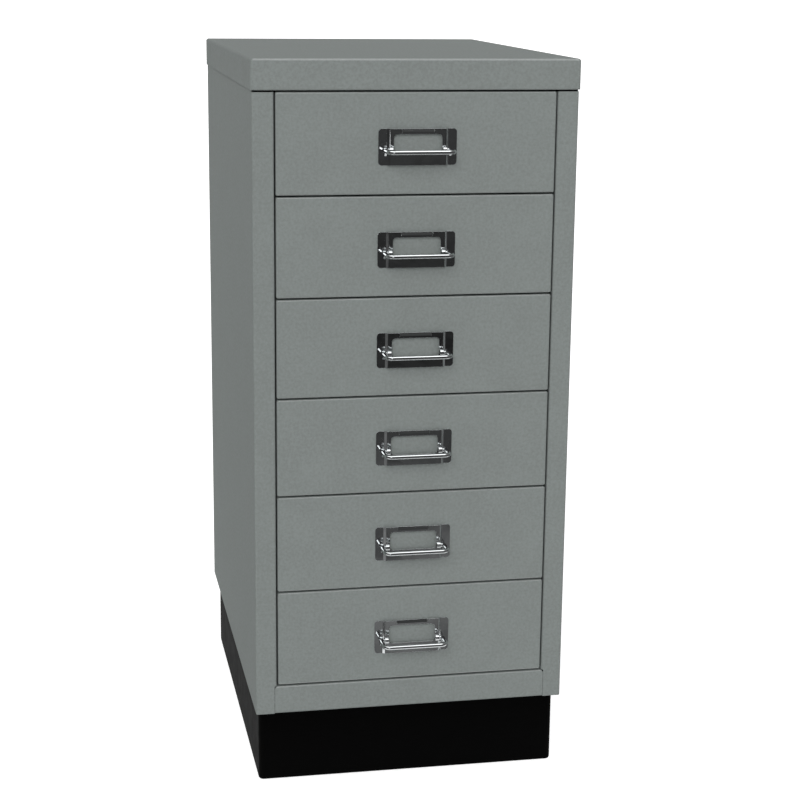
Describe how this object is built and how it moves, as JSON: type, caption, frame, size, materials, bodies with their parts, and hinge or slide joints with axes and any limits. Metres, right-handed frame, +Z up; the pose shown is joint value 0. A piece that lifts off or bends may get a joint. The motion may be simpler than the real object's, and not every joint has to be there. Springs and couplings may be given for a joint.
{
  "type": "multi-drawer cabinet",
  "caption": "Slim free-standing sheet steel cabinet of stacked shallow drawers under a separate top cover, with chromed label-holder drop handles and an inset black plinth.",
  "frame": {"origin": "on the floor, at the middle of the whole outline in plan, which takes in the handles at rest", "axes": "+X to the right of a viewer who faces the drawer fronts, -Y towards that viewer and the way the drawers open, +Z up"},
  "size_m": [0.279, 0.4224, 0.638],
  "materials": {
    "painted_carcase": "semi-matt grey stoved enamel on sheet steel",
    "painted_drawers": "semi-matt grey stoved enamel on sheet steel",
    "painted_runners": "semi-matt grey enamel on sheet steel, rubbed where the lips run",
    "painted_plinth": "semi-matt black powder coat",
    "chrome_fittings": "bright chromium plate",
    "zinc_fixings": "zinc plate"
  },
  "bodies": {
    "cabinet": {"left_side": "painted_carcase", "right_side": "painted_carcase", "top_cover": "painted_carcase", "back_panel": "painted_carcase", "base_panel": "painted_carcase", "bottom_rail": "painted_carcase", "left_rear_post": "painted_carcase", "right_rear_post": "painted_carcase", "plinth_front": "painted_plinth", "plinth_rear": "painted_plinth", "plinth_left": "painted_plinth", "plinth_right": "painted_plinth", "plinth_bolts": "zinc_fixings", "plinth_nuts": "zinc_fixings", "left_runner_1": "painted_runners", "left_runner_2": "painted_runners", "left_runner_3": "painted_runners", "left_runner_4": "painted_runners", "left_runner_5": "painted_runners", "left_runner_6": "painted_runners", "right_runner_1": "painted_runners", "right_runner_2": "painted_runners", "right_runner_3": "painted_runners", "right_runner_4": "painted_runners", "right_runner_5": "painted_runners", "right_runner_6": "painted_runners"},
    "drawer_1": {"drawer_1_front": "painted_drawers", "drawer_1_inner_front": "painted_drawers", "drawer_1_tray": "painted_drawers", "drawer_1_label_holder": "chrome_fittings"},
    "handle_1": {"drawer_1_handle": "chrome_fittings"},
    "drawer_2": {"drawer_2_front": "painted_drawers", "drawer_2_inner_front": "painted_drawers", "drawer_2_tray": "painted_drawers", "drawer_2_label_holder": "chrome_fittings"},
    "handle_2": {"drawer_2_handle": "chrome_fittings"},
    "drawer_3": {"drawer_3_front": "painted_drawers", "drawer_3_inner_front": "painted_drawers", "drawer_3_tray": "painted_drawers", "drawer_3_label_holder": "chrome_fittings"},
    "handle_3": {"drawer_3_handle": "chrome_fittings"},
    "drawer_4": {"drawer_4_front": "painted_drawers", "drawer_4_inner_front": "painted_drawers", "drawer_4_tray": "painted_drawers", "drawer_4_label_holder": "chrome_fittings"},
    "handle_4": {"drawer_4_handle": "chrome_fittings"},
    "drawer_5": {"drawer_5_front": "painted_drawers", "drawer_5_inner_front": "painted_drawers", "drawer_5_tray": "painted_drawers", "drawer_5_label_holder": "chrome_fittings"},
    "handle_5": {"drawer_5_handle": "chrome_fittings"},
    "drawer_6": {"drawer_6_front": "painted_drawers", "drawer_6_inner_front": "painted_drawers", "drawer_6_tray": "painted_drawers", "drawer_6_label_holder": "chrome_fittings"},
    "handle_6": {"drawer_6_handle": "chrome_fittings"}
  },
  "joints": [
    {"name": "drawer_1_slide", "type": "slide", "parent": "cabinet", "child": "drawer_1", "axis": [0, -1, 0], "range_m": [0, 0.3]},
    {"name": "handle_1_swing", "type": "hinge", "parent": "drawer_1", "child": "handle_1", "pos_m": [0, -0.1907, 0.5628], "axis": [-1, 0, 0], "range_deg": [0, 80]},
    {"name": "drawer_2_slide", "type": "slide", "parent": "cabinet", "child": "drawer_2", "axis": [0, -1, 0], "range_m": [0, 0.3]},
    {"name": "handle_2_swing", "type": "hinge", "parent": "drawer_2", "child": "handle_2", "pos_m": [0, -0.1907, 0.47655], "axis": [-1, 0, 0], "range_deg": [0, 80]},
    {"name": "drawer_3_slide", "type": "slide", "parent": "cabinet", "child": "drawer_3", "axis": [0, -1, 0], "range_m": [0, 0.3]},
    {"name": "handle_3_swing", "type": "hinge", "parent": "drawer_3", "child": "handle_3", "pos_m": [0, -0.1907, 0.3903], "axis": [-1, 0, 0], "range_deg": [0, 80]},
    {"name": "drawer_4_slide", "type": "slide", "parent": "cabinet", "child": "drawer_4", "axis": [0, -1, 0], "range_m": [0, 0.3]},
    {"name": "handle_4_swing", "type": "hinge", "parent": "drawer_4", "child": "handle_4", "pos_m": [0, -0.1907, 0.30405], "axis": [-1, 0, 0], "range_deg": [0, 80]},
    {"name": "drawer_5_slide", "type": "slide", "parent": "cabinet", "child": "drawer_5", "axis": [0, -1, 0], "range_m": [0, 0.3]},
    {"name": "handle_5_swing", "type": "hinge", "parent": "drawer_5", "child": "handle_5", "pos_m": [0, -0.1907, 0.2178], "axis": [-1, 0, 0], "range_deg": [0, 80]},
    {"name": "drawer_6_slide", "type": "slide", "parent": "cabinet", "child": "drawer_6", "axis": [0, -1, 0], "range_m": [0, 0.3]},
    {"name": "handle_6_swing", "type": "hinge", "parent": "drawer_6", "child": "handle_6", "pos_m": [0, -0.1907, 0.13155], "axis": [-1, 0, 0], "range_deg": [0, 80]}
  ]
}
